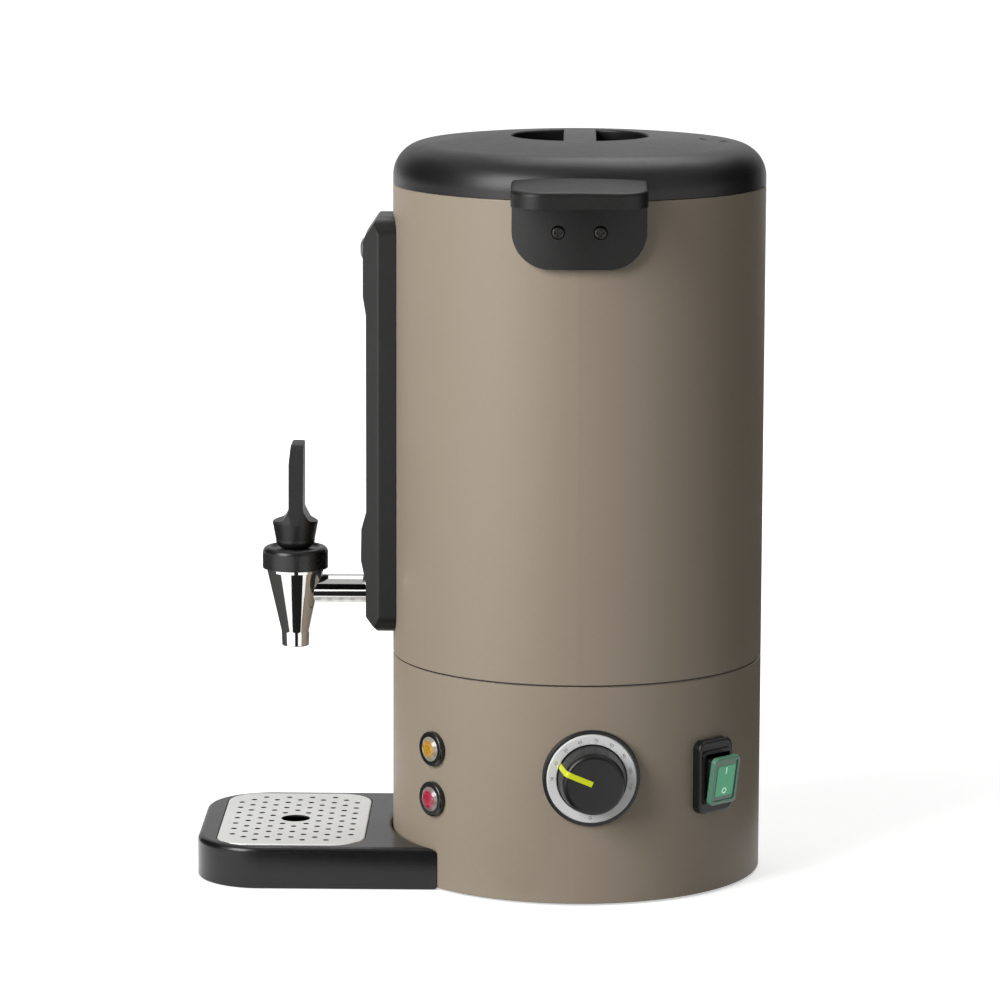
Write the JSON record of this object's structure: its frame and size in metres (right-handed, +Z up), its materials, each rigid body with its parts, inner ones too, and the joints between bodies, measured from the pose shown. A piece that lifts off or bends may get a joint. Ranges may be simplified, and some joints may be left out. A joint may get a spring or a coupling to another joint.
{
  "type": "hot water urn",
  "caption": "Countertop hot water urn: painted drum on a heater base, gravity tap and sight gauge in front, drip tray, lift-off lid, side handles, dial and rocker switch.",
  "frame": {"origin": "on the drum's axis, at the surface that the urn stands on", "axes": "+Z up; the tap and tray face -Y; the controls are on the +X side; the cable gland is at azimuth 140 degrees, behind"},
  "size_m": [0.292, 0.3275, 0.43],
  "materials": {
    "painted_body": "matt powder coat",
    "black_plastic": "fine matt",
    "stainless": "satin",
    "zinc_sheet": "zinc plated",
    "chrome": "mirror",
    "aluminium": "satin",
    "element_steel": "oxidised",
    "brass": "turned",
    "rubber": "matt",
    "silicone": "translucent white",
    "clear": "clear",
    "grey_plastic": "plain",
    "lime_plastic": "satin",
    "green_plastic": "translucent",
    "amber_lens": "translucent",
    "red_lens": "translucent"
  },
  "bodies": {
    "urn": {"base_housing": "painted_body", "body_jacket": "painted_body", "right_handle": "black_plastic", "left_handle": "black_plastic", "gauge_housing": "black_plastic", "tap_bonnet": "black_plastic", "seam_ring": "black_plastic", "switch_body": "black_plastic", "cable_gland": "black_plastic", "dial_bezel": "black_plastic", "amber_lamp_body": "black_plastic", "red_lamp_body": "black_plastic", "inner_tank": "stainless", "base_plate_screws": "stainless", "tank_studs": "stainless", "tank_nuts": "stainless", "handle_backing_plates": "stainless", "gauge_screw": "stainless", "sight_tube_socket": "stainless", "tap_spring": "stainless", "shank_spacer": "stainless", "shank_nut": "stainless", "handle_screws": "stainless", "base_plate": "zinc_sheet", "thermal_cutout": "zinc_sheet", "tap_body": "chrome", "heater_plate": "aluminium", "dial_plate": "aluminium", "heating_element": "element_steel", "thermostat_nut": "brass", "thermostat_bulb": "brass", "lamp_nuts": "brass", "rubber_feet": "rubber", "switch_boot": "rubber", "sight_tube_seals": "silicone", "shank_seal": "silicone", "gauge_window": "clear", "sight_tube": "clear", "thermostat_body": "grey_plastic", "terminal_block": "grey_plastic", "amber_lamp_lens": "amber_lens", "red_lamp_lens": "red_lens"},
    "lid": {"lid_cover": "black_plastic", "lid_pan": "stainless", "lid_seal": "silicone", "lid_screws": "stainless", "vent_tube": "black_plastic"},
    "knob": {"control_knob": "black_plastic", "knob_pointer": "lime_plastic", "thermostat_shaft": "brass"},
    "rocker": {"rocker_core": "black_plastic", "rocker_cap": "green_plastic", "rocker_lens": "green_plastic"},
    "stem": {"valve_stem": "stainless", "valve_seat_cup": "silicone"},
    "lever": {"tap_lever": "black_plastic", "lever_pin": "stainless"},
    "tray": {"drip_tray": "black_plastic"},
    "grid": {"drip_grid": "stainless"}
  },
  "joints": [
    {"name": "lid_lift", "type": "slide", "parent": "urn", "child": "lid", "axis": [0, 0, 1], "range_m": [0, 0.12]},
    {"name": "knob_turn", "type": "hinge", "parent": "urn", "child": "knob", "pos_m": [0.11463, 0.00922, 0.0744], "axis": [0.9968, 0.0802, 0], "range_deg": [-168, 113]},
    {"name": "rocker_tilt", "type": "hinge", "parent": "urn", "child": "rocker", "pos_m": [0.0764, 0.07774, 0.0698], "axis": [0.7133, -0.7009, 0], "range_deg": [0, 18]},
    {"name": "stem_lift", "type": "slide", "parent": "urn", "child": "stem", "axis": [0, 0, 1], "range_m": [0, 0.0044], "deforming": ["tap_spring"]},
    {"name": "lever_tilt", "type": "hinge", "parent": "stem", "child": "lever", "pos_m": [0, -0.1647, 0.1917], "axis": [1, 0, 0], "range_deg": [0, 38], "stiffness_Nm_per_rad": 0.08, "springref_deg": -17.19},
    {"name": "tray_slide", "type": "slide", "parent": "urn", "child": "tray", "axis": [0, -1, 0], "range_m": [0, 0.12]},
    {"name": "grid_lift", "type": "slide", "parent": "tray", "child": "grid", "axis": [0, 0, 1], "range_m": [0, 0.06]}
  ],
  "couplings": [
    {"joint": "stem_lift", "follows": "lever_tilt", "m_per_rad": 0.0066}
  ]
}
